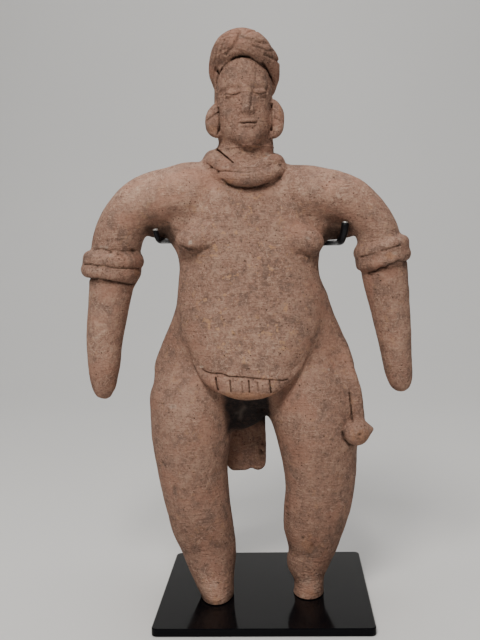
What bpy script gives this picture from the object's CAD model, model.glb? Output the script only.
"""A standing clay figure in the large flat style of Colima, on its black display stand.

The clay is one skin, drawn as the zero level of a smooth field: round limbs, lumps and coils are
melted into each other as a potter would do it, then cuts, pits and hollows are taken from them.
Measures are in millimetres from the point of the plate on which the figure stands, X to the
viewer's right and Y to the back. The rod of the cradle is measured from the middle of the plate.
"""
import math

import bpy
import numpy as np
from mathutils import Matrix, Vector


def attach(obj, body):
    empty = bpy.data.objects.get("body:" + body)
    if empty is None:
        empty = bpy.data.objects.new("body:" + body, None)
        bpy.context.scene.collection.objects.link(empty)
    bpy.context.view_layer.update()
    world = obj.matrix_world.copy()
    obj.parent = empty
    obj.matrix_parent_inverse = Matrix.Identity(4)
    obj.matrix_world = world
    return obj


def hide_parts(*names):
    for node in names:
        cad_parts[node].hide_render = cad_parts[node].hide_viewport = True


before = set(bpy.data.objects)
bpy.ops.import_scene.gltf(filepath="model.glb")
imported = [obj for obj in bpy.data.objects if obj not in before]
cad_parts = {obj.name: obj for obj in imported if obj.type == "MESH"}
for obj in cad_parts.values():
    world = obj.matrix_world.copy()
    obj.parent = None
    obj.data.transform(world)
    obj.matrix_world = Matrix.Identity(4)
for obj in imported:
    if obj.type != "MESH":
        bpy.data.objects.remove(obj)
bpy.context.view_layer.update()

MM = 0.001
FIGURE_AT = np.array([-5.0, -10.0, 5.1])
STEP = 0.65
FINE = 0.38
SKIN_TRIANGLES = 328000
SPLIT_Z = 225
SEED = 7
LATTICE_SIDE = 32
THINNEST = 0.05

# How many points are worked on at a time, against a line and in the whole field
CHUNK = 20000
BLOCK = 400000


# Smooth lines and distances

def smooth_line(rows, steps):
    """Rows along a smooth curve through the given rows, with as many steps between each two."""
    rows = np.array(rows, float)
    pad = np.vstack([2 * rows[0] - rows[1], rows, 2 * rows[-1] - rows[-2]])
    t = np.linspace(0, 1, steps, endpoint=False)[:, None]
    out = []
    for before, start, end, after in zip(pad, pad[1:], pad[2:], pad[3:]):
        leave = (end - before) / 2
        arrive = (after - start) / 2
        cube = 2 * start - 2 * end + leave + arrive
        square = 3 * end - 3 * start - 2 * leave - arrive
        out.append(cube * t ** 3 + square * t ** 2 + leave * t + start)
    out.append(rows[-1:])
    return np.vstack(out)


def turned(degrees):
    """The matrix that turns about X, then Y, then Z."""
    x, y, z = (Matrix.Rotation(math.radians(a), 3, n) for a, n in zip(degrees, "XYZ"))
    return np.array(z @ y @ x)


def ellipse_gap(offsets, radii):
    """The distance from an ellipse or ellipsoid with the given half axes, less than 0 inside."""
    near = np.sqrt(sum((o / r) ** 2 for o, r in zip(offsets, radii)))
    steep = np.sqrt(sum((o / (r * r)) ** 2 for o, r in zip(offsets, radii)))
    middle = steep < 1e-5
    return np.where(middle, -np.minimum.reduce(radii), near * (near - 1) / np.where(middle, 1, steep))


def nearest(p, line, axes, thick=None):
    """The row of a line that is nearest to each point over some axes, and how far off it is."""
    best = np.empty(len(p), int)
    gap = np.empty(len(p))
    for i in range(0, len(p), CHUNK):
        part = p[i:i + CHUNK]
        far = sum((part[:, k:k + 1] - line[:, k]) ** 2 for k in axes)
        if thick is not None:
            far = np.sqrt(far) - thick
        best[i:i + CHUNK] = far.argmin(1)
        gap[i:i + CHUNK] = far.min(1)
    return best, gap


class Limb:
    """A round limb along a smooth line of stations: x, y, z, half width, depth in front and behind.
    A missing depth repeats the number before it. An upright limb is sliced level."""

    def __init__(self, *rows, upright=False, steps=8):
        full = [list(r) + [r[-1]] * (6 - len(r)) for r in rows]
        line = smooth_line(full, steps)
        line[:, 3:] = np.maximum(line[:, 3:], THINNEST)
        if upright and line[0, 2] > line[-1, 2]:
            line = line[::-1].copy()
        self.upright = upright
        self.line = line
        self.index = np.arange(len(line), dtype=float)
        run = np.concatenate([[0], np.cumsum(np.linalg.norm(np.diff(line[:, :3], axis=0), axis=1))])
        self.slope = np.gradient(line[:, 3:], run, axis=0)
        flat = np.gradient(line[:, [0, 2]], axis=0)
        self.along = flat / np.linalg.norm(flat, axis=1)[:, None]
        self.stride = np.gradient(run)
        reach = line[:, 3:].max(1)[:, None]
        self.low = (line[:, :3] - reach).min(0)
        self.high = (line[:, :3] + reach).max(0)

    def where(self, p):
        """The place of each point along the line, as a fractional row."""
        line = self.line
        if self.upright:
            return np.interp(p[:, 2], line[:, 2], self.index)
        best, _ = nearest(p, line, (0, 2))
        off = p[:, [0, 2]] - line[best][:, [0, 2]]
        slide = (off * self.along[best]).sum(1) / self.stride[best]
        return np.clip(best + slide, 0, len(line) - 1)

    def __call__(self, p):
        t = self.where(p)
        x, y, z, side, front, back = (np.interp(t, self.index, c) for c in self.line.T)
        side_slope, front_slope, back_slope = (np.interp(t, self.index, c) for c in self.slope.T)
        dx, dy, dz = p[:, 0] - x, p[:, 1] - y, p[:, 2] - z
        if self.upright:
            across, beyond = dx, dz
        else:
            ax = np.interp(t, self.index, self.along[:, 0])
            az = np.interp(t, self.index, self.along[:, 1])
            across, beyond = dx * az - dz * ax, dx * ax + dz * az
        depth = np.where(dy < 0, front, back)
        depth_slope = np.where(dy < 0, front_slope, back_slope)
        gap = ellipse_gap((across, dy), (side, depth))
        wide = (across / side) ** 2
        deep = (dy / depth) ** 2
        slope = (wide * side_slope ** 2 + deep * depth_slope ** 2) / (wide + deep + 1e-6)
        gap = gap / np.sqrt(1 + slope)
        ends = (t <= 0) | (t >= len(self.line) - 1)
        return np.where(ends & (np.abs(beyond) > 0), np.hypot(np.maximum(gap, 0), beyond), gap)


class Lump:
    """A pressed-on lump of clay: an ellipsoid turned about X, Y and Z, and leaning along Z in depth."""

    def __init__(self, centre, radii, turn=(0, 0, 0), lean=0.0):
        self.centre = np.array(centre, float)
        self.radii = np.array(radii, float)
        self.back = turned(turn)
        self.lean = lean
        reach = self.radii.max() * (1 + abs(lean))
        self.low = self.centre - reach
        self.high = self.centre + reach

    def __call__(self, p):
        q = p - self.centre
        q[:, 1] -= self.lean * q[:, 2]
        return ellipse_gap((q @ self.back).T, self.radii)


class Coil:
    """A coil of clay round a limb, whose height follows a slope across and a slope in depth."""

    def __init__(self, centre, ring, roll, slopes):
        self.centre = np.array(centre, float)
        self.ring, self.roll, self.slopes = ring, roll, slopes
        reach = np.array([ring[0] + roll[0], ring[1] + roll[0], 0])
        reach[2] = roll[1] + abs(slopes[0]) * reach[0] + abs(slopes[1]) * reach[1]
        self.low = self.centre - reach
        self.high = self.centre + reach

    def __call__(self, p):
        x, y, z = (p - self.centre).T
        share = np.sqrt((x / self.ring[0]) ** 2 + (y / self.ring[1]) ** 2) + 1e-6
        away = np.hypot(x, y)
        height = z - self.slopes[0] * x - self.slopes[1] * y
        return ellipse_gap((away - away / share, height), self.roll)


class Rope:
    """A rolled strip of clay along a smooth line in space: x, y, z and its radius."""

    def __init__(self, *rows, steps=8):
        self.line = smooth_line(rows, steps)
        self.line[:, 3] = np.maximum(self.line[:, 3], THINNEST)
        reach = self.line[:, 3].max()
        self.low = self.line[:, :3].min(0) - reach
        self.high = self.line[:, :3].max(0) + reach

    def where(self, p):
        return nearest(p, self.line, range(3), self.line[:, 3])

    def __call__(self, p):
        return self.where(p)[1]


def melt(a, b, k):
    """The nearer of two surfaces, run together over about k millimetres."""
    near = np.maximum(k - np.abs(a - b), 0) / k
    return np.minimum(a, b) - near * near * k / 4


# The shapes

TRUNK = Limb(
    (-1, 1, 266, 0), (-1, 1, 262, 24, 10), (-1, 1, 252, 42, 15), (-0.5, 0, 238, 50, 19),
    (0.6, 0, 221, 49.4, 20.5), (0, 0, 208, 41.6, 21.5, 20), (0.1, 0, 196, 40.3, 22.5, 19.5),
    (1.8, 0.5, 184, 44.4, 23, 20), (1.8, 1.5, 170, 49.6, 23, 22), (1.4, 2.5, 155, 56, 23, 24),
    (1.2, 3, 140, 61, 22, 26), (2, 3, 127, 57, 18, 25), (0, 3, 120.6, 34, 13, 20),
    (-2.2, 3, 116.7, 12, 12, 16), (-2.2, 3, 113.4, 10.4, 10.5, 14), (-2.6, 3, 110.4, 9.8, 9.5, 13),
    (-4.4, 3, 106.8, 8, 8, 11), (-7, 3, 103.8, 5.2, 5, 7), (-8.4, 3, 102.2, 2.4, 3),
    (-8.8, 3, 101.7, 0), upright=True)
BELLY = Lump((-0.5, -12, 182), (39, 17, 57), lean=0.2)
LIP = Rope(
    (-31, -19, 146.6, 2.6), (-26, -21.6, 139.4, 3.8), (-19, -24.4, 134.6, 4.6), (-8, -26.4, 131.6, 5),
    (2, -26.8, 131.2, 5), (12, -25.6, 133, 4.8), (20.4, -22.8, 137.2, 4.2), (27.6, -20, 144, 3.2),
    (33, -17.4, 153, 2.2))
ARM_L = Limb(
    (-2, 0, 243, 0), (-15, 0, 243, 8), (-30, 0, 245.7, 18.2), (-47, 0, 244.8, 16.8, 18),
    (-61.4, 0, 241.8, 15.6, 17), (-70.6, 0, 234.6, 15, 16.5), (-77.2, 0, 224.8, 14.8, 16),
    (-80.6, 0, 213, 14.8, 15.4), (-83, 0, 199, 14, 14.4), (-85.6, -0.5, 183, 12.6, 13),
    (-89, -1, 161, 11.2, 11.6), (-90.2, -1, 142, 9.6, 9.8), (-90.5, -1, 129, 6.9, 7),
    (-89.8, -1, 124, 3.8), (-89.6, -1, 122.2, 0))
ARM_R = Limb(
    (2, 0, 242, 0), (15, 0, 242, 8), (30, 0, 243.2, 17, 18.5), (46, 0, 242.6, 16, 18),
    (58, 0, 239.8, 14.8, 17), (67.2, 0, 233.2, 13.6, 16), (75, 0, 223.8, 12.4, 15.5),
    (78.4, 0, 213, 13, 15), (80.2, 0, 200.6, 13.8, 14.2), (82.2, -0.5, 186, 12.7, 13),
    (84.8, -1, 168, 11, 11.6), (87.2, -1, 147, 9.1, 9.6), (89, -1, 134, 7.8, 7.8),
    (89.8, -1, 128, 5.9), (90, -1, 125.2, 3.2), (90, -1, 124.2, 0))
BANDS_L = [
    Coil((-82, 0, 207.4), (14.2, 15), (4.3, 5), (-0.07, 0.03)),
    Coil((-83.4, 0, 203.6), (14.2, 14.9), (3.4, 4.6), (-0.1, 0.03)),
    Coil((-84.9, 0, 200.2), (12.7, 14.2), (4.4, 4.6), (-0.12, 0.03))]
BANDS_R = [
    Coil((78.8, 0, 210.8), (12.2, 14.5), (4.3, 4.8), (0.2, 0.03)),
    Coil((79.4, 0, 207), (12, 14.3), (4, 5), (0.23, 0.03)),
    Coil((80, 0, 204.1), (11.9, 14.1), (4.4, 4.5), (0.2, 0.03))]
LEG_L = Limb(
    (-32, 2, 156, 0), (-33, 2, 151, 10, 11), (-35.4, 2, 140, 19.4, 20, 21), (-37.8, 1, 127, 24, 24.4, 26),
    (-38, 0, 112, 24.4, 26, 27.5), (-37.9, 0, 96, 24, 25.8, 26.5), (-38, 0, 81, 21.9, 24, 23.5),
    (-36.6, 0, 67, 20.7, 22, 21), (-34.6, 0, 53, 19.9, 20.5, 19.5), (-32.2, 0, 40, 19.1, 19, 18.5),
    (-29.2, 0, 28, 17, 17.4, 16.8), (-27.6, -1, 17, 14.2, 17, 15.2), (-25.9, -2, 8, 11.8, 18, 13.6),
    (-24.4, -2.6, 2, 10.3, 18.6, 12), (-24.2, -2.6, -2.4, 8.8, 16, 9), (-24.2, -2.6, -4, 0),
    upright=True)
LEG_R = Limb(
    (34, 2, 156, 0), (34, 2, 151, 10, 11), (36, 2, 140, 21, 20, 21), (36.4, 1, 127, 28.2, 24.4, 26),
    (37.3, 0, 113, 28, 26, 27.5), (38.4, 0, 105, 26.4, 26, 27), (39, 0, 96, 24.5, 25.8, 26.5),
    (40, 0, 81, 22.4, 24, 23.5), (39.9, 0, 67, 21.1, 22, 21), (38.2, 0, 53, 20.5, 20.5, 19.5),
    (35.9, 0, 40, 18.4, 18.8, 18.3),
    (34.9, 0.5, 28, 14.9, 16.4, 16), (33.1, 0.8, 22, 14, 15.4, 15), (31.9, 1, 17, 12.7, 14.6, 14),
    (31.7, 1.2, 14, 11.5, 14.2, 13.4), (31.8, 1.5, 11.2, 10.2, 14, 12.8), (32.2, 1.5, 7, 9.2, 14.2, 12.2),
    (32, 1.5, 2.4, 9.2, 14.6, 11.4), (31.7, 1.5, -2, 8.9, 13, 9), (31.6, 1.5, -4, 0), upright=True)
BREASTS = [
    Lump((-27.8, -17.2, 218), (14.2, 8.6, 8.6), (22, 0, 12)),
    Lump((-31.6, -23, 215.8), (5.4, 4.4, 4), (30, 0, 12)),
    Lump((33, -16, 216), (11.5, 7.6, 8.4), (20, 10, -12))]
ARMPITS = [Lump((-50, 4, 228), (18, 10, 8.3)), Lump((49, 5, 224.9), (20, 10, 8.9))]
BUTTOCKS = [Lump((-29, 9, 128), (25, 23, 27)), Lump((31, 9, 128), (25, 23, 27))]
NECK = Limb(
    (-0.5, 2, 244, 0), (-0.5, 2, 248, 14, 14), (-0.4, 2, 255, 16.4, 18.6, 15),
    (-0.4, 2, 262, 16.6, 17.8, 15), (-0.4, 2, 268, 16.4, 15.8, 15), (-0.4, 2, 276, 16.2, 14, 15.5),
    (-0.6, 2, 288, 14, 12), (-0.6, 2, 292, 0), upright=True)
UPPER_COLLAR = Rope(
    (0, 18, 267.5, 4.2), (-13.5, 13, 268, 4.6), (-20, 3, 266.2, 5.6), (-17.4, -7, 263.6, 5.5),
    (-10.5, -13.4, 260.4, 4.6), (-3, -16.4, 258.3, 3.6), (4, -16.6, 258.1, 3.4),
    (11, -13.8, 260.4, 3.6), (16, -7.6, 262.6, 4.2), (18, 1, 263, 4.5), (14, 12, 266, 4.2),
    (0, 18, 267.5, 4.2))
LOWER_COLLAR = Rope(
    (-18, -3, 257.5, 1.4), (-14.6, -10.6, 256.4, 3), (-8.8, -15.8, 254.4, 4.4),
    (0, -18.4, 252.9, 4.8), (8, -17.4, 253.6, 4.9), (14.4, -13, 255.6, 5), (18.6, -6, 257.8, 4.8),
    (19, 3, 258.8, 4.4), (14, 12, 261, 4), (2, 16, 262.5, 3.8), (-12, 12.5, 261, 3.4),
    (-18, 4, 259, 2))
SASH = Limb(
    (55, -3, 153, 0), (56.2, -6.4, 147, 2.2, 2), (57.8, -9.8, 140.6, 3, 2.8), (59.4, -12.8, 134, 3.8, 3.4),
    (60.7, -14.2, 127, 4.4, 3.8), (62, -14.6, 114, 4.4, 4), (62.6, -14.6, 106, 3.6, 3.4),
    (62.6, -14.6, 103, 0), upright=True)
KNOB = Lump((61, -19.2, 103.4), (7.7, 7.6, 7.5))
KNOB_TIP = Limb(
    (60, -18.6, 103.6, 0), (61.5, -18.6, 103.8, 6.6), (65.6, -18.6, 104.6, 5.8), (69, -18.4, 104.9, 3.2),
    (71, -18.2, 105.1, 1.2), (71.6, -18.2, 105.2, 0))

# The head is drawn facing straight ahead, from hairline to chin in equal thirds, and then turned

CHIN_Z = 273
HEAD_FRAME = turned((0, -1.5, 0)) @ turned((0, 0, 8))
HEAD_PIVOT = np.array([0, 0, CHIN_Z], float)
HEAD_SHIFT = np.array([-0.4, 0, 0])
HAIRLINE_Z = 322
FACE_Y = -21
THIRD = (HAIRLINE_Z - CHIN_Z) / 3
BROW = HAIRLINE_Z - THIRD
NOSE_BASE = CHIN_Z + THIRD
EYES = BROW - 0.27 * THIRD
LIPS = NOSE_BASE - THIRD / 3
SKULL = Limb(
    (0, 1, 336, 0), (0, 1, 333, 9, 9, 12), (0, 1, 327, 14.4, 16.5, 19), (0, 0, 318, 16.6, 20, 22),
    (0, 0, 306, 17, 21, 22.5), (0, 0, 294, 17.2, 21, 21), (0, 0, 284, 16.4, 20.5, 18),
    (0, 0, 277, 13.6, 19.5, 15), (0, 0, 272.4, 8, 14.5, 11), (0, 0, 271, 0), upright=True)
BROWS = [Limb(
    (s * 1.6, FACE_Y + 2.8, BROW - 0.6, 0.4), (s * 4, FACE_Y + 2.4, BROW + 0.4, 1.4, 1.3),
    (s * 8, FACE_Y + 3.4, BROW + 1.2, 1.5, 1.3), (s * 12.2, FACE_Y + 6.2, BROW + 0.2, 1.1, 1.2),
    (s * 14.4, FACE_Y + 8.8, BROW - 1.4, 0.3)) for s in (-1, 1)]
NOSE = Limb(
    (0, FACE_Y + 2, BROW + 2.4, 0), (0, FACE_Y + 1.8, BROW + 0.4, 1.7, 1.6),
    (0, FACE_Y + 0.6, EYES, 2.2, 2.1), (0, FACE_Y + 0.3, (EYES + NOSE_BASE) / 2, 2.5, 3.1),
    (0, FACE_Y + 0.3, NOSE_BASE + 3, 2.7, 3.9), (0, FACE_Y + 0.7, NOSE_BASE + 1.4, 2.3, 3.5),
    (0, FACE_Y + 1.8, NOSE_BASE - 0.2, 1.2, 2), (0, FACE_Y + 2.4, NOSE_BASE - 0.8, 0), upright=True)
NOSTRILS = [Lump((s * 2.5, FACE_Y + 0.4, NOSE_BASE + 1.9), (1.6, 2.1, 1.6)) for s in (-1, 1)]
LIDS = [Lump((s * 7.8, FACE_Y + 3.2, EYES + 0.1), (4.9, 2.2, 2.6), (0, s * 4, s * 22)) for s in (-1, 1)]
MOUTH = [
    Lump((0, FACE_Y + 0.9, LIPS + 1.3), (4.9, 2, 1.5)),
    Lump((0, FACE_Y + 1, LIPS - 1.3), (4.3, 2.1, 1.6))]
CHIN = Lump((0, FACE_Y + 3.6, CHIN_Z + 4), (6, 3.6, 3.8))
FACE_LINES = [
    [(s * 3.7, EYES - 0.3), (s * 6, EYES - 1.1), (s * 8.6, EYES - 1.2), (s * 12, EYES - 0.1)]
    for s in (-1, 1)]
FACE_LINES.append([(x, LIPS + z) for x, z in ((-5.2, 0.3), (-2, -0.1), (0, 0.1), (2, -0.1), (5.2, 0.3))])
FACE_CUTS = [(line, 0.6, 0.8, 0.4) for line in FACE_LINES]
EARRINGS = [
    Rope((-14.6, -5, 298.4, 1.2), (-16.8, -6, 295.6, 2.3), (-19.4, -7, 291.4, 3.1), (-20, -7.4, 287, 3.5),
         (-19.2, -7.6, 282.6, 3.5), (-16.9, -7.4, 279.8, 2.5), (-14.8, -6.6, 279, 1)),
    Rope((14.8, -5, 298.6, 1.2), (17.4, -5.4, 296, 2.5), (19.4, -6, 291.2, 3.2), (19.5, -6.4, 286.2, 3.4),
         (18.8, -6.6, 281.4, 3.2), (16.6, -6.4, 278.4, 2.2), (14.8, -5.8, 277.8, 1))]
LOBES = [Lump((-16.8, -4.6, 288.6), (3.4, 6, 7.6)), Lump((16.4, -4.2, 287.6), (3.2, 6, 7.6))]
CAP = Lump((-0.4, 5, 317.6), (18.4, 23.4, 20.4), (-14, 0, 0))
ROLL = Rope(
    (2, 22, 303, 4), (-9, 19, 304, 3.6), (-14.4, 12, 306.6, 3), (-17.2, 3, 311, 2.7),
    (-17.6, -2, 315.6, 3.4), (-15, -8, 321.8, 5.2), (-9.6, -13.5, 327, 7.7), (-2.6, -16, 329.2, 8.5),
    (4.2, -16, 328.2, 8.5), (10.6, -13, 324.8, 6.8), (15.6, -8, 320.2, 5.1), (17.6, -2, 315, 3.3),
    (17, 3, 310.6, 2.7), (14.4, 12, 306.6, 3), (9, 19, 304, 3.6), (-2, 22, 303, 4))
FLAP_LOW_Z = 72.4
FLAP_HIGH_Z = 112
FLAP_Y = (16.6, 23.4)
FLAP_MIDDLE_X = -5.2
FLAP_HALF = 12.2
FLAP_CORNER = 5
FLAP_EDGE = 1.6
NOTCH_X = -2.4
NOTCH_WIDTH = 2.2
NOTCH_DEPTH = 1.4


class Flap:
    """The tongue of clay that hangs behind the legs, with a shallow notch in its lower edge."""

    low = np.array([-20.0, 14, 70])
    high = np.array([12.0, 26, FLAP_HIGH_Z])

    def __call__(self, p):
        x, y, z = p.T
        middle = FLAP_MIDDLE_X + 0.02 * (z - 90)
        side = np.abs(x - middle) - FLAP_HALF
        notch = NOTCH_DEPTH * np.exp(-((x - NOTCH_X) / NOTCH_WIDTH) ** 2)
        low = FLAP_LOW_Z + notch - z
        plan = np.hypot(np.maximum(side + FLAP_CORNER, 0), np.maximum(low + FLAP_CORNER, 0)) - FLAP_CORNER
        plan = np.maximum(plan, np.minimum(np.maximum(side, low), 0)) + FLAP_EDGE
        thick = np.abs(y - np.mean(FLAP_Y)) - (FLAP_Y[1] - FLAP_Y[0]) / 2 + FLAP_EDGE
        both = np.hypot(np.maximum(plan, 0), np.maximum(thick, 0)) - FLAP_EDGE
        return both + np.minimum(np.maximum(plan, thick), 0)


FLAP = Flap()


def in_head(p):
    """The same points in the frame in which the head is drawn."""
    return (p - HEAD_PIVOT - HEAD_SHIFT) @ HEAD_FRAME + HEAD_PIVOT


class InHead:
    """A shape drawn in the head's frame."""

    def __init__(self, shape):
        self.shape = shape
        box = (shape.low, shape.high)
        corners = np.array([[box[i][0], box[j][1], box[k][2]] for i, j, k in np.ndindex(2, 2, 2)])
        corners = (corners - HEAD_PIVOT) @ HEAD_FRAME.T + HEAD_PIVOT + HEAD_SHIFT
        self.low = corners.min(0)
        self.high = corners.max(0)

    def __call__(self, p):
        return self.shape(in_head(p))


def belly_melt(p):
    """Sharp at the lower lip, softer to its sides, and run into the chest above."""
    high = np.clip((p[:, 2] - 133) / 50, 0, 1)
    aside = np.clip((np.abs(p[:, 0]) - 15) / 15, 0, 1)
    return 0.8 + 13 * high + 7 * aside * (1 - high)


def rising(axis, start, end, low, more):
    """A melt that is low before the start on an axis, and grows by more up to the end."""
    return lambda p: low + more * np.clip((p[:, axis] - start) / (end - start), 0, 1)


# What is melted into what, in this order, and over how many millimetres
SHAPES = [
    (TRUNK, 0.01), (ARM_L, 3.5), (ARM_R, 3.5), *zip(ARMPITS, (2, 2)), *zip(BUTTOCKS, (8, 8)), (LEG_L, 4),
    (LEG_R, 4), (BELLY, belly_melt), (LIP, rising(1, -25, -29, 0.8, 6)), *zip(BREASTS, (6, 3, 7)),
    (NECK, 4), (FLAP, 3), *zip(BANDS_L, (2.2, 1, rising(0, -77, -71, 0.7, 5))),
    *zip(BANDS_R, (2.6, 1, 0.8)), (UPPER_COLLAR, rising(0, 12, 0, 1.2, 4.2)),
    (LOWER_COLLAR, rising(0, -7, -15, 0.8, 4)), (SASH, rising(2, 124, 140, 2, 6)), (KNOB, 0.6),
    (KNOB_TIP, 2.5)]
SHAPES += [(InHead(shape), k) for shape, k in (
    (SKULL, 3), *zip(BROWS, (2.5, 2.5)), (CHIN, 4), (NOSE, 3), *zip(NOSTRILS, (1.6, 1.6)),
    *zip(LIDS, (0.6, 0.6)), *zip(MOUTH, (0.7, 0.7)))]
SHAPES += [*zip(LOBES, (1.5, 1.5)), *zip(EARRINGS, (1.2, 1.2)), (CAP, 1), (ROLL, 1)]

# How far beyond a shape's box it can matter, and the gap where no shape is near
MELT_MARGIN = 12
VARIED_MARGIN = 17
FAR_OFF = 60.0


def near_box(p, shape, margin):
    inside = np.ones(len(p), bool)
    for axis in range(3):
        inside &= (p[:, axis] > shape.low[axis] - margin) & (p[:, axis] < shape.high[axis] + margin)
    return np.flatnonzero(inside)


def melted(p):
    """The distance to the clay before any cut is made in it."""
    gap = np.full(len(p), FAR_OFF)
    for shape, k in SHAPES:
        pick = near_box(p, shape, VARIED_MARGIN if callable(k) else MELT_MARGIN)
        if len(pick):
            there = p[pick]
            gap[pick] = melt(gap[pick], shape(there), k(there) if callable(k) else k)
    return gap


# Cuts and marks, each a hollow that is added to the distance near the surface

LATTICE = np.random.default_rng(SEED).random((LATTICE_SIDE,) * 3).astype(np.float32) * 2 - 1


def noise(p, size, shift=0.0):
    """Smooth seeded noise from -1 to 1, with features of the given size."""
    q = p / size + shift
    cell = np.floor(q).astype(int)
    part = (q - cell).astype(np.float32)
    part = part * part * (3 - 2 * part)
    out = np.zeros(len(p), np.float32)
    for corner in range(8):
        bits = [(corner >> k) & 1 for k in range(3)]
        weight = np.ones(len(p), np.float32)
        for k, bit in enumerate(bits):
            weight *= part[:, k] if bit else 1 - part[:, k]
        place = [(cell[:, k] + bit) % LATTICE_SIDE for k, bit in enumerate(bits)]
        out += weight * LATTICE[place[0], place[1], place[2]]
    return out


def groove(x, z, points, width):
    """A rounded cut along a line of points in the XZ plane: 1 on the line, 0 beyond its width."""
    best = np.full(len(x), 1e9)
    for (x0, z0), (x1, z1) in zip(points, points[1:]):
        dx, dz = x1 - x0, z1 - z0
        t = np.clip(((x - x0) * dx + (z - z0) * dz) / (dx * dx + dz * dz), 0, 1)
        best = np.minimum(best, (x - x0 - t * dx) ** 2 + (z - z0 - t * dz) ** 2)
    return np.exp(-best / (width * width / 4))


# Cuts seen from the front: points x, z, then depth and width in millimetres, and how dark they are
FRONT_CUTS = [
    ([(-27.6, 143), (-26.2, 141.8), (-23, 141), (-19.4, 141)], 0.7, 0.8, 0.35),
    ([(-19.4, 141), (-16.5, 141), (-11.7, 139.3), (-3.5, 138.9)], 1.1, 0.8, 0.55),
    ([(-3.5, 138.9), (6.7, 137.6), (18.4, 136.3), (21.5, 136.6)], 0.8, 0.75, 0.45),
    ([(-19.6, 138.4), (-19, 134), (-18.4, 131.4)], 1.6, 1, 0.8),
    ([(-11.3, 137), (-11, 133.6), (-10.8, 130.4)], 1.3, 0.8, 0.65),
    ([(-4.4, 136.4), (-4, 129.8)], 0.6, 0.8, 0.35),
    ([(-0.5, 136.8), (-0.2, 130.2)], 1.5, 0.8, 0.75),
    ([(4.4, 135.6), (4.9, 131)], 0.7, 1, 0.45),
    ([(11.4, 136.4), (12, 129.6)], 1.6, 0.9, 0.8),
    ([(17, 135.4), (17.6, 132)], 0.4, 0.8, 0.25),
    ([(-17.3, 271.2), (-15.8, 270), (-11.7, 266.2), (-7.1, 261.9)], 1.6, 0.8, 0.8),
    ([(-22.6, 262.4), (-19, 259.4), (-15.9, 257.4)], 0.5, 0.8, 0.35),
    ([(-15.9, 257.2), (-12.4, 257.2), (-9, 256.8), (-5.5, 256.4), (-2.1, 256), (2.5, 255.8)],
     0.6, 0.8, 0.45),
    ([(2.5, 255.8), (6, 256.4), (9.5, 257.6), (13, 259.2), (14.8, 260.6)], 0.35, 0.8, 0.2),
    ([(-13.6, 252.6), (-10.3, 250), (-6.3, 248.2), (1.2, 247.3), (7, 247.9)], 0.8, 1.1, 0.5),
    ([(7, 247.9), (11, 249.6), (15.1, 251.2), (19.7, 253.4)], 0.6, 1.1, 0.4),
    ([(-37, 214.4), (-34.8, 213.3), (-31.4, 212.6)], 0.8, 1.4, 0.5),
    ([(-31.4, 212.6), (-27, 211.8), (-21.6, 212.8)], 0.6, 2.6, 0.2),
    ([(-27, 211.2), (-32, 209.6), (-36.4, 211.6)], 0.5, 2, 0.12),
    ([(28.4, 209.2), (31.6, 207.8), (36, 207)], 0.5, 1.5, 0.25),
    ([(30.3, 210.8), (34, 207.6), (38.7, 206.6), (44.5, 210.4)], 0.4, 2.4, 0.12),
    ([(-97.6, 205.3), (-93, 205.2), (-88.6, 204.3), (-84, 204.2), (-79.1, 203), (-73.7, 202.6),
      (-66.6, 202.2)], 0.8, 0.9, 0.45),
    ([(-99.4, 196.8), (-96, 196.6), (-88.3, 196.9), (-79.6, 194.8), (-72.3, 192.9), (-68, 192.4)],
     1, 1.2, 0.75),
    ([(-90, 214), (-86.4, 214.6), (-82, 213), (-78.6, 213.6), (-75, 212.4), (-69, 212.9)], 0.6, 1, 0.35),
    ([(-92, 211.8), (-87, 211.4), (-84, 212.2)], 0.3, 0.8, 0.15),
    ([(-77.4, 209.6), (-75.5, 210.6), (-73.4, 209.8)], 0.6, 0.9, 0.35),
    ([(-86, 219.6), (-79, 218.4), (-74, 219.4)], 0.35, 0.7, 0.2),
    ([(-76, 222), (-70, 221.4)], 0.3, 0.7, 0.15),
    ([(88.4, 211.9), (84.3, 211), (81.8, 210.2), (77.4, 209.1)], 0.9, 1, 0.4),
    ([(73.6, 207.6), (69.3, 206.5), (66.2, 205.6)], 0.8, 1, 0.35),
    ([(96, 203.4), (92.1, 202.2), (88.6, 202.8), (86.5, 203), (84.6, 201.7), (81.8, 201.2)], 0.8, 0.9, 0.7),
    ([(81.8, 201.2), (80, 199.6), (77.1, 199.4), (74.6, 197.4), (70.5, 196.4)], 0.9, 1, 0.8),
    ([(72.4, 195), (70.6, 195.8)], 0.8, 1, 0.6),
    ([(56.8, 131), (57.7, 126)], 0.4, 0.9, 0.2),
    ([(57.7, 126), (58.4, 119.1), (59.1, 110.4)], 1.2, 0.9, 0.8),
    ([(53.1, 104.2), (53.8, 99.6), (56.6, 96), (60.4, 94.9), (64.4, 95.4)], 1, 1.1, 0.75),
    ([(-22.4, 287.4), (-19, 289.6), (-15.4, 292)], 0.7, 0.9, 0.5),
    ([(-15.4, 294.4), (-14.9, 290), (-14.8, 284), (-16.2, 279.6)], 0.9, 1.1, 0.55),
    ([(15.9, 296), (15.6, 291), (15.7, 286), (15.4, 281)], 0.9, 1.1, 0.55),
    ([(16, 289), (18.4, 287.4), (20.6, 286)], 0.6, 0.9, 0.45),
    ([(16, 292.4), (18, 290.6)], 0.5, 0.8, 0.35)]

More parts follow.
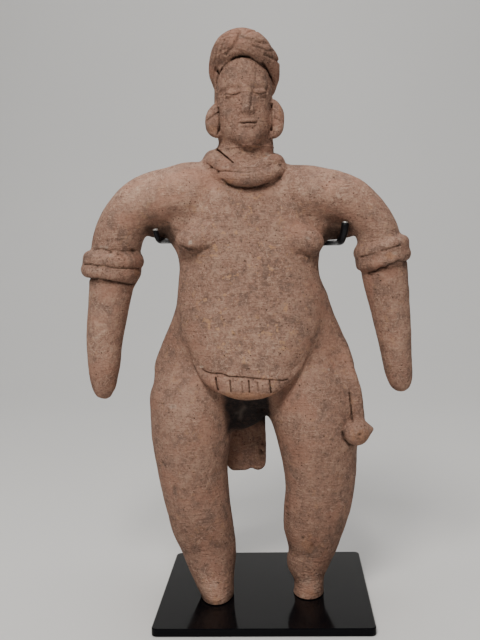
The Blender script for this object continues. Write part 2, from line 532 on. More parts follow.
# The turban: the crease along the hair, the slit on its right, and the edges of its wound strands
TURBAN_CUTS = [
    ([(-12.4, 316), (-9.6, 318.4), (-6.8, 320), (-3.9, 321.4), (-1, 322), (4.1, 321.2), (6.9, 319.8),
      (10.3, 317.6), (12.4, 316)], 1, 1.3, 0.4),
    ([(-5.4, 320.9), (-3.9, 321.5), (-1, 322), (3.6, 321.4)], 1.5, 1.5, 0.8),
    ([(10.8, 318.6), (12.4, 317.2), (13.6, 315.4), (15.2, 312.6)], 1.6, 1, 0.85),
    ([(15.2, 312.6), (16.6, 310), (17.3, 307.4)], 1.2, 0.9, 0.6),
    ([(-12.4, 316), (-14.6, 313.6), (-16, 310), (-16.4, 306)], 0.9, 1.2, 0.4),
    ([(-15.4, 316), (-14.6, 314.4)], 1.4, 1.5, 0.8),
    ([(-1.2, 334.4), (-1.8, 331.4), (-3.4, 328.4), (-6, 325.4), (-9.4, 323)], 1, 1.8, 0.3),
    ([(-0.2, 331.2), (4, 329.6), (9.4, 328.3), (13, 328)], 0.9, 1.9, 0.25),
    ([(1.8, 332.2), (3.9, 334.2), (8, 335.6)], 0.5, 1, 0.2),
    ([(6.4, 326.2), (10.4, 325.2), (14.4, 324), (17.4, 325)], 0.6, 1.2, 0.25),
    ([(12.8, 322.2), (16.4, 321.2), (20.2, 320)], 1.1, 1.6, 0.4),
    ([(-9.8, 330.4), (-11.4, 327.4), (-12.6, 324.4), (-13.6, 321.4)], 0.6, 1, 0.3),
    ([(-12.6, 331), (-14.8, 326.4), (-16, 321), (-16.6, 316.6)], 0.5, 1, 0.2),
    ([(-6.6, 331.8), (-8.2, 328.6), (-10, 325.6)], 0.35, 0.9, 0.15),
    ([(-11.6, 332.4), (-5.9, 333.4), (0.4, 333.2)], 0.35, 0.9, 0.15),
    ([(14, 328.4), (18, 327)], 0.3, 2, 0.1)]

# Pits: x, z, radius in millimetres, depth and how dark they are
PITS = [
    (-16.3, 257, 1, 0.9, 0.6), (-20.4, 260, 0.9, 0.8, 0.5), (-3.5, 267.8, 0.7, 0.5, 0.5),
    (19.9, 260, 1, 0.9, 0.6), (-69, 212.7, 1.2, 1.2, 0.85), (-80.9, 212.2, 0.9, 1, 0.7),
    (-76.6, 211.2, 0.7, 0.7, 0.5), (-88.6, 204.1, 0.6, 0.7, 0.6), (62.5, 103.6, 0.9, 0.8, 0.7),
    (61.4, 101.2, 0.6, 0.5, 0.5), (28.6, 39.6, 1, 0.9, 0.6), (34, 34.8, 1, 0.8, 0.5),
    (-53.2, 50.6, 1, 0.9, 0.55), (-53.8, 86, 0.9, 0.8, 0.5), (19.4, 55, 1.2, 0.7, 0.4),
    (20, 51.6, 0.9, 0.7, 0.4), (19, 58.8, 0.8, 0.6, 0.35), (-8.6, 163.6, 0.7, 0.5, 0.5),
    (23.6, 184.6, 0.6, 0.5, 0.4), (-46, 121, 0.7, 0.5, 0.4), (41, 66.4, 0.7, 0.5, 0.4)]
CHIPPED_AT = (4.6, 87)
CHIPPED_SIZE = (1.9, 6.5)
CHIPPED_BEHIND = 18.6
CHIP_DEPTH = 1.8


# How uneven the skin is: depth, size and shift of the noise
UNEVEN = [(0.3, 17.0, 0.0), (0.15, 6.0, 3.3), (0.07, 2.2, 7.7)]
CUT_REACH = 2.5
FRONT_Y = 2
FACING_Y = -3
FADE = 3
LEG_TOP_Z = 128
LEG_SIDE_X = 66


def lined(x, z, lines, rough):
    """How deep, and how dark from 0 to 1, the lines cut each point."""
    deep = np.zeros(len(x))
    dark = np.zeros(len(x))
    for line, depth, width, dirty in lines:
        ends = np.array(line)
        low = ends.min(0) - CUT_REACH
        high = ends.max(0) + CUT_REACH
        near = np.flatnonzero((x > low[0]) & (x < high[0]) & (z > low[1]) & (z < high[1]))
        share = groove(x[near], z[near], line, width)
        deep[near] += depth * rough[near] * share
        dark[near] = np.maximum(dark[near], dirty * share)
    return deep, dark


def cuts(p):
    """How deep each point of the skin is cut, and how dark the dirt in the cut is."""
    deep = sum(depth * noise(p, size, shift) for depth, size, shift in UNEVEN)
    dark = np.zeros(len(p))
    front = np.flatnonzero(p[:, 1] < FRONT_Y)
    rough = 1 + 0.35 * noise(p[front], 1.6, 1.9)
    holes = [([(x, z), (x + 0.3, z)], depth, 2 * radius, dirty) for x, z, radius, depth, dirty in PITS]
    facing = np.clip((FACING_Y - p[front, 1]) / FADE, 0, 1)
    on_leg = (p[front, 2] < LEG_TOP_Z) & (np.abs(p[front, 0]) < LEG_SIDE_X)
    reach = np.where(on_leg, facing, np.clip((FRONT_Y - p[front, 1]) / FADE, 0, 1))
    for lines, at, shown in ((FRONT_CUTS + TURBAN_CUTS, p[front], reach), (holes, p[front], facing),
                             (FACE_CUTS, in_head(p[front]), 1)):
        more, share = lined(at[:, 0], at[:, 2], lines, rough)
        deep[front] += more * shown
        dark[front] = np.maximum(dark[front], share * shown)
    pick = near_box(p, FLAP, 0)
    pick = pick[p[pick, 1] < CHIPPED_BEHIND]
    away = (p[pick][:, [0, 2]] - CHIPPED_AT) / CHIPPED_SIZE
    chips = np.exp(-(away ** 2).sum(1)) * np.clip(0.5 + 1.8 * noise(p[pick], 1.9, 8.2), 0, 1)
    deep[pick] += CHIP_DEPTH * chips
    dark[pick] = np.maximum(dark[pick], 0.9 * chips)
    pick = near_box(p, ROLL, 3)
    deep[pick] += strands(p[pick])
    return deep, dark


STRANDS = 9
TWIST = 0.9
STRAND_DEPTH = 0.6
STRAND_WIDTH = 0.8


def strands(p):
    """The twisted strands of the turban's roll: fine grooves that wind slowly about it."""
    row, _ = ROLL.where(p)
    line = ROLL.line
    off = p - line[row, :3]
    way = np.gradient(line[:, :3], axis=0)
    flat = way[row][:, [0, 2]]
    flat /= np.linalg.norm(flat, axis=1)[:, None] + 1e-9
    out = off[:, 2] * flat[:, 0] - off[:, 0] * flat[:, 1]
    angle = np.arctan2(out, -off[:, 1])
    share = row / (len(line) - 1)
    wind = STRANDS * (angle / (2 * math.pi) + TWIST * (share - 0.5)) + 0.25 * noise(p, 7.0, 4.4)
    valley = np.abs(wind - np.round(wind)) * 2 * math.pi * line[row, 3] / STRANDS
    shown = np.clip(line[row, 3] / 4 - 0.4, 0, 1) * (0.75 + 0.5 * noise(p, 3.0, 9.1))
    return STRAND_DEPTH * shown * np.exp(-(valley / STRAND_WIDTH) ** 2)


# The skin: the field is sampled ever finer near its surface, and the surface is netted

WIDENING = 0.12

# Passes over the grid: every how many lines, and the band that is sampled, in steps and millimetres
PASSES = [(4, math.inf, 0), (2, 3.4, 2.6), (1, 1.7, 0.7)]


def ticks(low, high, wide, fine, *spans):
    """Grid lines from low to high, wide apart, and closer together inside the spans."""
    lines = [low]
    while lines[-1] < high:
        outside = min(max(start - lines[-1], lines[-1] - end, 0) for start, end in spans)
        lines.append(lines[-1] + min(wide, fine + WIDENING * outside))
    spare = -(len(lines) - 1) % 4
    lines += [lines[-1] + wide * (i + 1) for i in range(spare)]
    return np.array(lines)


def grid_field(field, lines):
    """The field on a grid, right near the surface and of the right sign elsewhere."""
    widest = max(np.diff(line).max() for line in lines)
    values = None
    for skip, steps, more in PASSES:
        grid = [line[::skip] for line in lines]
        counts = [len(line) for line in grid]
        if values is None:
            values = np.zeros(counts, np.float32)
        else:
            values = values[np.ix_(*[np.arange(n) // 2 for n in counts])]
        ids = np.flatnonzero(np.abs(values) < steps * widest + more)
        place = np.unravel_index(ids, counts)
        flat = values.reshape(-1)
        for i in range(0, len(ids), BLOCK):
            part = slice(i, i + BLOCK)
            flat[ids[part]] = field(np.stack([line[k[part]] for line, k in zip(grid, place)], 1))
    return values


def net(values, lines):
    """The surface where the field on a grid is zero, as points and quads."""
    inside = values < 0
    corner = [inside[i:i - 1 or None, j:j - 1 or None, k:k - 1 or None] for i, j, k in np.ndindex(2, 2, 2)]
    some = np.logical_or.reduce(corner)
    every = np.logical_and.reduce(corner)
    cells = np.argwhere(some & ~every)
    number = np.full(some.shape, -1, np.int32)
    number[tuple(cells.T)] = np.arange(len(cells))
    total = np.zeros((len(cells), 3))
    hits = np.zeros(len(cells))
    for axis in range(3):
        others = [a for a in range(3) if a != axis]
        for shift in np.ndindex(2, 2):
            start = cells.copy()
            start[:, others] += shift
            end = start.copy()
            end[:, axis] += 1
            a = values[tuple(start.T)]
            b = values[tuple(end.T)]
            cross = (a < 0) != (b < 0)
            share = np.where(cross, a / np.where(cross, a - b, 1), 0)
            point = start.astype(float)
            point[:, axis] += share
            total += point * cross[:, None]
            hits += cross
    total /= hits[:, None]
    points = np.stack([np.interp(total[:, a], np.arange(len(lines[a])), lines[a]) for a in range(3)], 1)
    quads = []
    for axis in range(3):
        a = np.take(inside, range(inside.shape[axis] - 1), axis)
        b = np.take(inside, range(1, inside.shape[axis]), axis)
        edges = np.argwhere(a != b)
        leaving = a[tuple(edges.T)]
        others = [k for k in range(3) if k != axis]
        around = []
        for shift in ((0, 0), (-1, 0), (-1, -1), (0, -1)):
            cell = edges.copy()
            cell[:, others] += shift
            around.append(number[tuple(cell.T)])
        quad = np.stack(around, 1)
        turn = leaving if axis != 1 else ~leaving
        quad[~turn] = quad[~turn][:, ::-1]
        quads.append(quad)
    return points, np.vstack(quads)


def mesh_of(name, points, faces):
    """A smooth-shaded mesh from arrays of points and faces, all with as many corners."""
    mesh = bpy.data.meshes.new(name)
    sides = faces.shape[1]
    mesh.vertices.add(len(points))
    mesh.vertices.foreach_set("co", np.ascontiguousarray(points, np.float32).reshape(-1))
    mesh.loops.add(faces.size)
    mesh.loops.foreach_set("vertex_index", np.ascontiguousarray(faces, np.int32).reshape(-1))
    mesh.polygons.add(len(faces))
    mesh.polygons.foreach_set("loop_start", np.arange(0, faces.size, sides, dtype=np.int32))
    mesh.update(calc_edges=True)
    mesh.polygons.foreach_set("use_smooth", np.ones(len(faces), bool))
    mesh.validate()
    return mesh


def in_scene(name, data):
    piece = bpy.data.objects.new(name, data)
    bpy.context.scene.collection.objects.link(piece)
    return piece


def read(items, what, wide=3, kind=np.float32):
    """One number or vector of each item of a mesh, in rows of three."""
    flat = np.empty(wide * len(items), kind)
    items.foreach_get(what, flat)
    return flat.reshape(-1, 3)


def points_of(piece):
    """The points of a piece, in millimetres from the figure's own place."""
    return read(piece.data.vertices, "co") / MM - FIGURE_AT


def settled(piece):
    """Applies the modifiers of a piece to its mesh."""
    bpy.context.view_layer.update()
    seen = piece.evaluated_get(bpy.context.evaluated_depsgraph_get())
    mesh = bpy.data.meshes.new_from_object(seen)
    piece.modifiers.clear()
    piece.data = mesh


def skin_field(p):
    return np.maximum(melted(p) + cuts(p)[0], -p[:, 2])


# The grid's lines, finer over the middle, the front, the lip and the head
LINES = (ticks(-108, 102, STEP, FINE, (-25, 25)), ticks(-38, 40, STEP, FINE, (-34, -12)),
         ticks(-3, 344, STEP, FINE, (126, 144), (246, 342)))
points, quads = net(grid_field(skin_field, LINES), LINES)
faces = np.vstack([quads[:, (0, 1, 2)], quads[:, (0, 2, 3)]])
whole = in_scene("whole", mesh_of("whole", (points + FIGURE_AT) * MM, faces))
thin = whole.modifiers.new("thin", "DECIMATE")
thin.ratio = min(1, SKIN_TRIANGLES / len(faces))
settled(whole)
spots = points_of(whole)
normals = read(whole.data.vertex_normals, "vector")
faces = read(whole.data.loops, "vertex_index", 1, np.int32)
bpy.data.objects.remove(whole)
upper = spots[faces][:, :, 2].mean(1) > SPLIT_Z


def clay_piece(name, kept):
    """The part of the skin made of the kept faces, shaded as in the whole skin."""
    used, index = np.unique(faces[kept], return_inverse=True)
    mesh = mesh_of(name, (spots[used] + FIGURE_AT) * MM, index.reshape(-1, 3))
    mesh.normals_split_custom_set_from_vertices(normals[used])
    piece = in_scene(name, mesh)
    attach(piece, "root")
    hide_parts("figure")
    return piece


body = clay_piece("clay_body", ~upper)
head = clay_piece("clay_head", upper)


# The cradle: a post and a wire of round rod, in millimetres from the middle of the plate's underside

POST_RADIUS = 3.2
WIRE_RADIUS = 1.6
SLEEVE_RADIUS = 2.3
ROUNDED = 0.35
POST_X = -33.7
BARE_ABOVE = (229.4, 230.6)
POST = [(POST_X, y, z) for y, z in
        ((28, 1.7), (28, 60), (28, 172), (25.5, 190), (17.8, 208), (16.8, 226))]
WIRE = [
    (-59.4, -22, 230.4), (-59, -22, 228), (-58.2, -20.8, 224.8), (-57.4, -17, 223.3), (-57, -6, 223.2),
    (-55.6, 5, 223.2), (-50, 11.6, 223), (-40, 13.4, 222.6), (32, 13.4, 219.7), (42, 11.6, 219.5),
    (47, 5, 219.5), (48.6, -6, 219.5), (49.2, -14, 219.7), (50.2, -18.8, 221.6), (51.6, -21.6, 226.4),
    (52.2, -22, 231.8)]
SLEEVE = [(49.4, -15.6, 220), (50.3, -19, 222), (51.6, -21.6, 226.4), (52.2, -22, 231)]

# How a rod's end is rounded off: the share along it and the share of its radius
ROD_END = [(0, 0.02), (0, 0.7), (0.3, 0.92), (1, 1)]


def tube(rows, radius, sides=28, steps=6):
    """The points and quads of a round rod along a smooth line, with softly rounded closed ends."""
    line = smooth_line(rows, steps)
    way = np.gradient(line, axis=0)
    way /= np.linalg.norm(way, axis=1)[:, None]
    round_off = ROUNDED * radius
    start = [(line[0] + way[0] * round_off * along, way[0], radius * wide) for along, wide in ROD_END]
    end = [(line[-1] - way[-1] * round_off * along, way[-1], radius * wide) for along, wide in ROD_END]
    inner = (line - line[0]) @ way[0] > round_off
    inner[len(line) // 2:] = ((line[-1] - line) @ way[-1] > round_off)[len(line) // 2:]
    rings = start + [(spot, ahead, radius) for spot, ahead in zip(line[inner], way[inner])] + end[::-1]
    out = []
    side = np.array([1.0, 0, 0]) if abs(way[0][0]) < 0.7 else np.array([0, 1.0, 0])
    for middle, ahead, size in rings:
        side = side - ahead * side.dot(ahead)
        side /= np.linalg.norm(side)
        other = np.cross(ahead, side)
        for i in range(sides):
            turn = 2 * math.pi * i / sides
            out.append(middle + size * (math.cos(turn) * side + math.sin(turn) * other))
    quads = [(i * sides + j, i * sides + (j + 1) % sides,
              (i + 1) * sides + (j + 1) % sides, (i + 1) * sides + j)
             for i in range(len(rings) - 1) for j in range(sides)]
    return np.array(out), np.array(quads)


rod_points = []
rod_faces = []
bare = []
for rows, radius, steps, shine in ((POST, POST_RADIUS, 8, 0), (WIRE, WIRE_RADIUS, 8, 1),
                                   (SLEEVE, SLEEVE_RADIUS, 6, 0)):
    more, sides = tube(rows, radius, steps=steps)
    rod_faces.append(sides + sum(len(part) for part in rod_points))
    rod_points.append(more)
    bare.append(shine * (more[:, 2] > np.where(more[:, 0] < 0, *BARE_ABOVE)))
rod = in_scene("cradle_rod", mesh_of("cradle_rod", np.vstack(rod_points) * MM, np.vstack(rod_faces)))
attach(rod, "root")
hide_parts("cradle")


# Stains on the clay, kept as a share from 0 to 1 at each point of the skin

STAIN_BACK_Y = 4


def share_of(piece, name, values):
    layer = piece.data.attributes.new(name, "FLOAT", "POINT")
    layer.data.foreach_set("value", np.clip(values, 0, 1).astype(np.float32))


def ramp(values, start, end):
    t = np.clip((values - start) / (end - start), 0, 1)
    return t * t * (3 - 2 * t)


def spot(p, x, z, wide, tall, ragged=0.8):
    """A ragged round stain seen from the front."""
    away = np.hypot((p[:, 0] - x) / wide, (p[:, 2] - z) / tall)
    return ramp(away + ragged * noise(p, 1.8, 5.5), 1.15, 0.6) * (p[:, 1] < STAIN_BACK_Y)


def stroke(p, line, width):
    return groove(p[:, 0], p[:, 2], line, width) * (p[:, 1] < STAIN_BACK_Y)


# Stains and fairer or duller places: x, z, half width, half height and how much
WARM_SPOTS = [
    (82.6, 206.2, 2.6, 1.8, 0.5), (-66.8, 199.4, 1.2, 3, 0.35), (91.6, 214, 1.6, 1.6, 0.25),
    (-15.6, 332, 1.6, 3.2, 0.3), (-19.4, 282.5, 2.2, 2.4, 0.35), (20.6, 292, 1.2, 3.6, 0.35),
    (63, 103, 5, 4, 0.35), (-62, 52, 1, 3, 0.5), (-60.5, 86, 0.9, 3.2, 0.45), (-9.1, 251.4, 2.4, 1.5, 0.4),
    (9, 243, 1.4, 1.1, 0.35), (33, 4, 4.4, 2, 0.4), (-25, 3, 4.2, 2.4, 0.45), (32, 34, 3, 6, 0.3)]
PALE_SPOTS = [
    (-86, 215.6, 1.5, 0.7, 0.5), (-83.2, 214.8, 1.1, 0.6, 0.5), (-80.6, 210.6, 0.8, 0.6, 0.35),
    (-85.4, 206.4, 1.4, 0.7, 0.3), (-28.2, 144.4, 1.2, 0.8, 0.5), (12.8, 267, 1.6, 1.2, 0.45),
    (11.6, 264.4, 1, 0.8, 0.35), (-32.4, 216.6, 1.1, 1, 0.65), (34.9, 217.6, 0.9, 0.9, 0.5),
    (-12, 259.4, 1.8, 0.9, 0.25), (46, 140, 1, 0.8, 0.6), (37.5, 119, 0.9, 0.8, 0.65),
    (-46, 121, 1.8, 1.2, 0.35), (0.4, 331.6, 1.6, 1.2, 0.25), (84.6, 207.4, 1.4, 0.7, 0.45),
    (-24.4, 12, 2.2, 1.6, 0.25), (31, 12, 2.4, 2.6, 0.25)]
FAIR = [
    (-52, 246, 42, 22, 1.1), (54, 244, 40, 22, 0.7), (-88, 165, 22, 45, 0.8), (86, 168, 22, 45, 0.5),
    (0, 150, 36, 30, 0.55), (-34, 112, 30, 34, 0.3), (36, 112, 32, 34, 0.08), (0, 322, 24, 20, 0.25),
    (-25, 6, 18, 13, 1), (31, 6, 14, 12, 0.9), (-32, 44, 26, 20, -0.3), (35, 44, 26, 20, -0.38)]

# Where the soot between the legs fades in: across, from below, from above, in front and behind
SOOT_X = (15.8, 11)
SOOT_LOW_Z = (98, 104)
SOOT_HIGH_Z = (129, 127)
SOOT_FRONT_Y = (-24, -18)
SOOT_BACK_Y = (21, 18)


def spotted(p, spots, share):
    for x, z, wide, tall, amount in spots:
        share = np.maximum(share, amount * spot(p, x, z, wide, tall))
    return share


def fair(p):
    total = np.zeros(len(p))
    for fair_x, fair_z, wide, tall, amount in FAIR:
        away = ((p[:, 0] - fair_x) / wide) ** 2 + ((p[:, 2] - fair_z) / tall) ** 2
        total += amount * np.exp(-away * 1.2)
    return 0.5 + 0.5 * total


def stained(piece):
    """Works out every stain for the points of one piece."""
    at = points_of(piece)
    x, y, z = at.T
    wander = noise(at, 5.0, 2.2)
    soot = ramp(np.abs(x + 2.6) + 1.5 * wander, *SOOT_X) * ramp(z + 2 * wander, *SOOT_LOW_Z)
    soot *= ramp(z, *SOOT_HIGH_Z) * ramp(y, *SOOT_FRONT_Y) * ramp(y, *SOOT_BACK_Y)
    soot = np.maximum(soot, 0.5 * spot(at, -2.8, 145.6, 2.2, 2.2))
    pale = np.maximum(0.15 * stroke(at, [(-4.6, 117.4), (-6.8, 114.6), (-7.4, 110.4)], 2.6),
                      0.1 * stroke(at, [(-9.6, 113.4), (-7.2, 114.2)], 2.2))
    pale = spotted(at, PALE_SPOTS, pale)
    ochre = 0.5 * ramp(z + 1.2 * wander, 131.4, 128.4) * ramp(z, 125, 127)
    ochre *= (np.abs(x) < 18) * (y < -22)
    ochre = spotted(at, WARM_SPOTS, ochre)
    grimy = ramp(np.hypot((x + 1) / 34, (z - 190) / 68), 1.15, 0.55) * (y < 0)
    dirt = cuts(at)[1]
    for pit in ARMPITS:
        away = np.hypot((x - pit.centre[0]) / 12, (z - pit.centre[2] + 4) / 10)
        below = ramp(z, pit.centre[2] + 1, pit.centre[2] - 2.5)
        dirt = np.maximum(dirt, 0.78 * ramp(away, 1.15, 0.75) * below * ramp(y, -12, -7) * ramp(y, 12, 8))
    under = np.clip(-read(piece.data.vertex_normals, "vector")[:, 2], 0, 1) * ramp(z, 262, 240)
    for name, values in (("soot", soot), ("pale", pale), ("ochre", ochre), ("cut", dirt),
                         ("light", fair(at) - 0.55 * under), ("grimy", 0.35 + 0.65 * grimy)):
        share_of(piece, name, values)


stained(body)
stained(head)
share_of(rod, "bare", np.concatenate(bare))


# Materials

CLAY_WARM = (0.334, 0.192, 0.14)
CLAY_DEEP = (0.28, 0.156, 0.112)
CLAY_BUFF = (0.42, 0.264, 0.19)
CLAY_PALE = (0.5, 0.335, 0.25)
CLAY_FAIR = (0.9, 0.88, 0.86)
CLAY_DULL = (0.635, 0.59, 0.58)
CLAY_GREY = (0.165, 0.106, 0.084)
CLAY_SHADE = (0.085, 0.044, 0.03)
CLAY_FLECK = (0.48, 0.27, 0.15)
CLAY_RUDDY = (0.35, 0.172, 0.118)
CLAY_OCHRE = (0.42, 0.205, 0.105)
CHALK = (0.54, 0.43, 0.35)
SOOT = (0.022, 0.018, 0.018)
DIRT = (0.016, 0.009, 0.006)


class Paint:
    """Builds one node material: each call adds a node and returns its output."""

    def __init__(self, name):
        self.material = bpy.data.materials.new(name)
        self.material.use_nodes = True
        self.nodes = self.material.node_tree.nodes
        self.links = self.material.node_tree.links
        self.place = self.nodes.new("ShaderNodeTexCoord").outputs["Object"]
        self.colour = None

    def feed(self, socket, value):
        if isinstance(value, bpy.types.NodeSocket):
            self.links.new(value, socket)
        elif isinstance(value, tuple) and socket.type == "RGBA":
            socket.default_value = (*value, 1)
        else:
            socket.default_value = value

    def fill(self, node, **inputs):
        """Feeds the inputs of a node, with _ for each space in their names."""
        for name, value in inputs.items():
            self.feed(node.inputs[name.replace("_", " ")], value)
        return node

    def put(self, kind, **inputs):
        return self.fill(self.nodes.new("ShaderNode" + kind), **inputs)

    def stretched(self, scale, turn):
        turn = [math.radians(a) for a in turn]
        return self.put("Mapping", Vector=self.place, Scale=scale, Rotation=turn).outputs["Vector"]

    def noise(self, scale, detail=3.0, rough=0.6, vector=None):
        vector = vector or self.place
        node = self.put("TexNoise", Vector=vector, Scale=scale, Detail=detail, Roughness=rough)
        return node.outputs["Fac"]

    def cells(self, scale):
        return self.put("TexVoronoi", Vector=self.place, Scale=scale).outputs["Distance"]

    def band(self, value, low, high, to_low=0.0, to_high=1.0):
        node = self.put("MapRange", Value=value, From_Min=low, From_Max=high, To_Min=to_low, To_Max=to_high)
        node.interpolation_type = "SMOOTHSTEP"
        return node.outputs["Result"]

    def math(self, kind, a, b=0.0):
        node = self.put("Math")
        node.operation = kind
        self.feed(node.inputs[0], a)
        self.feed(node.inputs[1], b)
        return node.outputs[0]

    def mix(self, share, a, b, kind="MIX"):
        node = self.put("Mix")
        node.data_type = "RGBA"
        node.blend_type = kind
        for place, value in ((0, share), (6, a), (7, b)):
            self.feed(node.inputs[place], value)
        return node.outputs[2]

    def coat(self, tint, share, *more, kind="MIX"):
        """Lays a tint over the colour so far, by the product of the shares."""
        for other in more:
            share = self.math("MULTIPLY", share, other)
        self.colour = self.mix(share, self.colour, tint, kind)

    def share(self, name):
        node = self.put("Attribute")
        node.attribute_name = name
        return node.outputs["Fac"]

    def bump(self, height, distance, strength, **under):
        node = self.put("Bump", Height=height, Distance=distance, Strength=strength, **under)
        return node.outputs["Normal"]

    def done(self, **inputs):
        """Feeds the shader, and returns the material."""
        self.fill(self.nodes["Principled BSDF"], Base_Color=self.colour, **inputs)
        return self.material


def fired_clay():
    """Warm rosy brown clay, mottled buff and grey, with grit, dark pores, flecks and smoothing marks."""
    paint = Paint("fired_clay")
    patch = paint.noise(105)
    blotch = paint.noise(230)
    middle = paint.noise(420, 4, 0.75)
    grain = paint.noise(820, 3, 0.8)
    grimy = paint.share("grimy")
    light = paint.share("light")
    worn = paint.band(paint.noise(48, 2, 0.5), 0.46, 0.6, 0.1, 0.5)
    paint.colour = paint.mix(paint.band(paint.noise(30, 3, 0.55), 0.34, 0.68), CLAY_DEEP, CLAY_WARM)
    for field, amount in ((patch, 0.62), (blotch, 0.45)):
        paint.coat(CLAY_BUFF, paint.band(field, 0.5, 0.68, 0, amount))
        paint.coat(CLAY_GREY, paint.band(field, 0.5, 0.32, 0, amount))
    paint.coat(CLAY_BUFF, paint.band(middle, 0.53, 0.66), grimy, 0.7)
    paint.coat(CLAY_GREY, paint.band(middle, 0.47, 0.34), grimy, 0.7)
    paint.coat(CLAY_PALE, paint.band(grain, 0.54, 0.66, 0, 0.5))
    paint.coat(CLAY_SHADE, paint.band(grain, 0.46, 0.34, 0, 0.5))
    some = paint.band(paint.noise(70, 2, 0.5), 0.44, 0.58, 0, 0.85)
    paint.coat(CLAY_FLECK, paint.band(paint.noise(310, 2), 0.58, 0.66), grimy, some)
    paint.coat(CLAY_RUDDY, paint.band(paint.noise(52), 0.48, 0.66, 0, 0.5), paint.band(grimy, 1.0, 0.35))
    curls = paint.math("ABSOLUTE", paint.math("SUBTRACT", paint.noise(170, 1, 0.4), 0.5))
    paint.coat(CLAY_PALE, paint.band(curls, 0.014, 0.004), worn)
    paint.coat(CLAY_FAIR, paint.band(light, 0.5, 1.0, 0, 0.72), kind="SOFT_LIGHT")
    paint.coat(CLAY_DULL, paint.band(light, 0.5, 0.0, 0, 0.6), kind="MULTIPLY")
    scratches = paint.noise(1, 2, 0.6, paint.stretched((230, 230, 1500), (0, 11, 0)))
    paint.coat(CLAY_SHADE, paint.band(scratches, 0.61, 0.7), worn)
    some = paint.band(paint.noise(120, 2, 0.5), 0.46, 0.6)
    pores = paint.math("MULTIPLY", paint.band(paint.cells(400), 0.19, 0.08), some)
    paint.coat(CLAY_SHADE, pores, 0.85)
    paint.coat(CLAY_GREY, paint.band(paint.cells(130), 0.13, 0.06), grimy, 0.6)
    ragged = paint.band(middle, 0.3, 0.6, 0.55, 1.0)
    paint.coat(CLAY_OCHRE, paint.share("ochre"), ragged)
    paint.coat(SOOT, paint.share("soot"), paint.band(middle, 0.3, 0.6, 0.88, 1.0))
    paint.coat(CHALK, paint.share("pale"), ragged)
    paint.coat(DIRT, paint.share("cut"))
    strokes = paint.noise(1, 3, 0.6, paint.stretched((150, 150, 900), (0, -9, 0)))
    relief = paint.bump(strokes, 0.0014, 0.55)
    for height, distance, strength in (
            (blotch, 0.0022, 0.5), (middle, 0.0016, 0.5), (grain, 0.001, 0.7), (scratches, 0.0007, 0.35),
            (paint.math("SUBTRACT", 1.0, pores), 0.0008, 0.9)):
        relief = paint.bump(height, distance, strength, Normal=relief)
    return paint.done(Normal=relief, Roughness=paint.band(middle, 0.3, 0.7, 0.95, 0.82),
                      Specular_IOR_Level=0.2)


def enamel():
    """Glossy black enamel with the faint unevenness of a poured coat and a little dust."""
    paint = Paint("black_enamel")
    dust = paint.band(paint.noise(700, 4, 0.7), 0.6, 0.78, 0, 0.06)
    paint.colour = paint.mix(dust, (0.003, 0.003, 0.004), (0.16, 0.15, 0.14))
    return paint.done(Roughness=paint.band(paint.noise(60), 0.3, 0.7, 0.07, 0.14), IOR=1.45,
                      Normal=paint.bump(paint.noise(30, 2, 0.5), 0.0004, 0.2), Specular_IOR_Level=0.09)


def blackened_steel():
    """Round rod, blackened and waxed, with fine scratches and bare ends."""
    paint = Paint("black_steel")
    wear = paint.band(paint.noise(420, 4, 0.7), 0.55, 0.8, 0, 0.35)
    paint.colour = paint.mix(wear, (0.01, 0.01, 0.012), (0.07, 0.068, 0.066))
    paint.coat((0.55, 0.55, 0.53), paint.share("bare"))
    return paint.done(Roughness=paint.band(paint.noise(260), 0.3, 0.7, 0.3, 0.5), Metallic=0.7,
                      Normal=paint.bump(paint.noise(900), 0.0002, 0.4))


def pale_ground():
    paint = Paint("pale_ground")
    paint.colour = paint.mix(paint.noise(2, 2, 0.5), (0.70, 0.69, 0.67), (0.76, 0.75, 0.73))
    return paint.done(Roughness=0.85)


def dress(piece, material):
    piece.data.materials.clear()
    piece.data.materials.append(material)


clay = fired_clay()
dress(body, clay)
dress(head, clay)
dress(rod, blackened_steel())
plate_finish = enamel()
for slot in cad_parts["base_plate"].material_slots:
    slot.material = plate_finish


# Floor, lights and camera

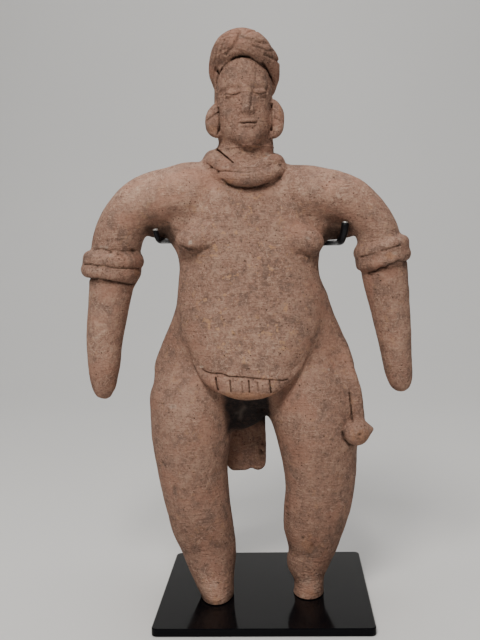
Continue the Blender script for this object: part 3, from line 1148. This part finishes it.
WALL_Y = 1.6
COVE = 0.9
FLOOR_HALF = 3.2
FLOOR_FRONT = -2.4
WALL_HIGH = 3.0
turns = np.linspace(0, math.pi / 2, 13)
profile = [(FLOOR_FRONT, 0.0)]
profile += [(WALL_Y - COVE + COVE * math.sin(t), COVE - COVE * math.cos(t)) for t in turns]
profile += [(WALL_Y, WALL_HIGH)]
sweep = np.array([[side * FLOOR_HALF, y, z] for y, z in profile for side in (-1, 1)])
strips = np.array([[2 * i, 2 * i + 1, 2 * i + 3, 2 * i + 2] for i in range(len(profile) - 1)])
ground = in_scene("ground", mesh_of("ground", sweep, strips))
dress(ground, pale_ground())


def soft_light(name, place, aim, size, power, colour=(1, 1, 1)):
    light = bpy.data.lights.new(name, "AREA")
    light.shape = "DISK"
    light.size = size
    light.energy = power
    light.color = colour
    lamp = in_scene(name, light)
    lamp.location = place
    lamp.rotation_euler = (Vector(aim) - Vector(place)).to_track_quat("-Z", "Y").to_euler()


soft_light("key", (-0.16, -0.8, 0.98), (0, 0, 0.2), 0.4, 12, (1, 0.97, 0.93))
soft_light("backdrop", (0, 0.3, 1.9), (0, 1.3, 0.3), 1.6, 22)
world = bpy.data.worlds.new("studio")
bpy.context.scene.world = world
world.use_nodes = True
sky = world.node_tree.nodes["Background"].inputs
sky["Color"].default_value = (0.92, 0.94, 0.97, 1)
sky["Strength"].default_value = 0.1

CAMERA_AT = (0.0171, -0.5528, 0.2189)
CAMERA_PITCH = 4.68
CAMERA_YAW = -3.0
CAMERA_ROLL = -1.45
CAMERA_LENS = 50.7

pitch, yaw, roll = (math.radians(a) for a in (CAMERA_PITCH, CAMERA_YAW, CAMERA_ROLL))
ahead = Vector((math.sin(yaw) * math.cos(pitch), math.cos(yaw) * math.cos(pitch), -math.sin(pitch)))
right = Vector((math.cos(yaw), -math.sin(yaw), 0))
up = right.cross(ahead)
right, up = (math.cos(roll) * right + math.sin(roll) * up, math.cos(roll) * up - math.sin(roll) * right)
lens = bpy.data.cameras.new("camera")
lens.lens = CAMERA_LENS
lens.sensor_width = 36
lens.clip_start = 0.01
camera = in_scene("camera", lens)
camera.matrix_world = Matrix.Translation(CAMERA_AT) @ Matrix((right, up, -ahead)).transposed().to_4x4()
bpy.context.scene.camera = camera
